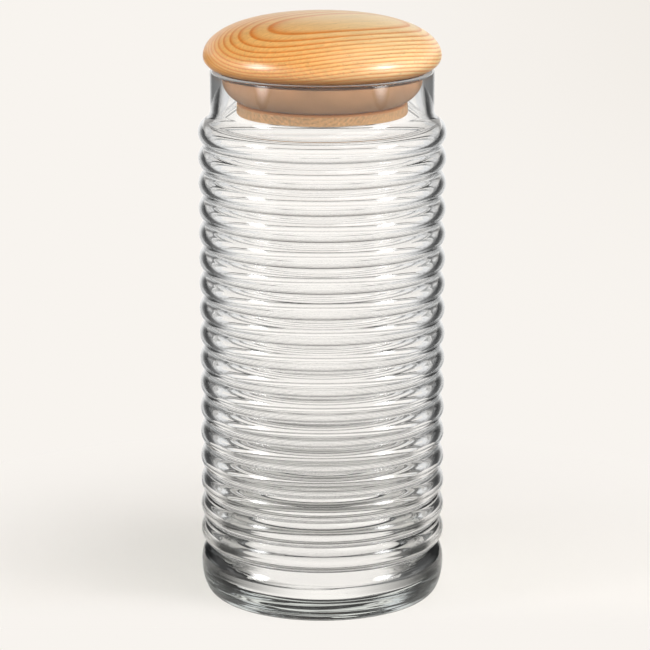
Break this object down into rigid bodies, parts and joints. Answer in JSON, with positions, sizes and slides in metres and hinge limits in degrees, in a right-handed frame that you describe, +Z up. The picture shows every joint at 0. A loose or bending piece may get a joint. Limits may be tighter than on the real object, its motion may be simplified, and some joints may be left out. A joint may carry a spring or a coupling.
{
  "type": "glass storage jar",
  "caption": "Tall ribbed clear glass storage jar with a domed turned wooden lid on a wooden plug and a flared frosted seal.",
  "frame": {"origin": "centre of the circle that the jar stands on, at the level of the surface under it", "axes": "+Z up along the jar's axis of rotation, through the lid; X and Y are any two level directions"},
  "size_m": [0.11, 0.11, 0.2629],
  "materials": {
    "clear_glass": "clear, fire-polished, faint grey-green where thick",
    "cap_wood": "honey-coloured softwood with orange growth rings, semi-gloss lacquer",
    "plug_wood": "turned, fine grain, thin lacquer",
    "dowel_wood": "bare",
    "frosted_seal": "frosted translucent, satin"
  },
  "bodies": {
    "jar": {"glass_jar": "clear_glass"},
    "seal": {"seal_ring": "frosted_seal"},
    "lid": {"lid_cap": "cap_wood", "lid_plug": "plug_wood", "lid_dowel": "dowel_wood"}
  },
  "joints": [
    {"name": "lid_lift", "type": "slide", "parent": "jar", "child": "seal", "axis": [0, 0, 1], "range_m": [0, 0.06]},
    {"name": "lid_turn", "type": "hinge", "parent": "seal", "child": "lid", "pos_m": [0, 0, 0.2355], "axis": [0, 0, 1], "continuous": true}
  ]
}
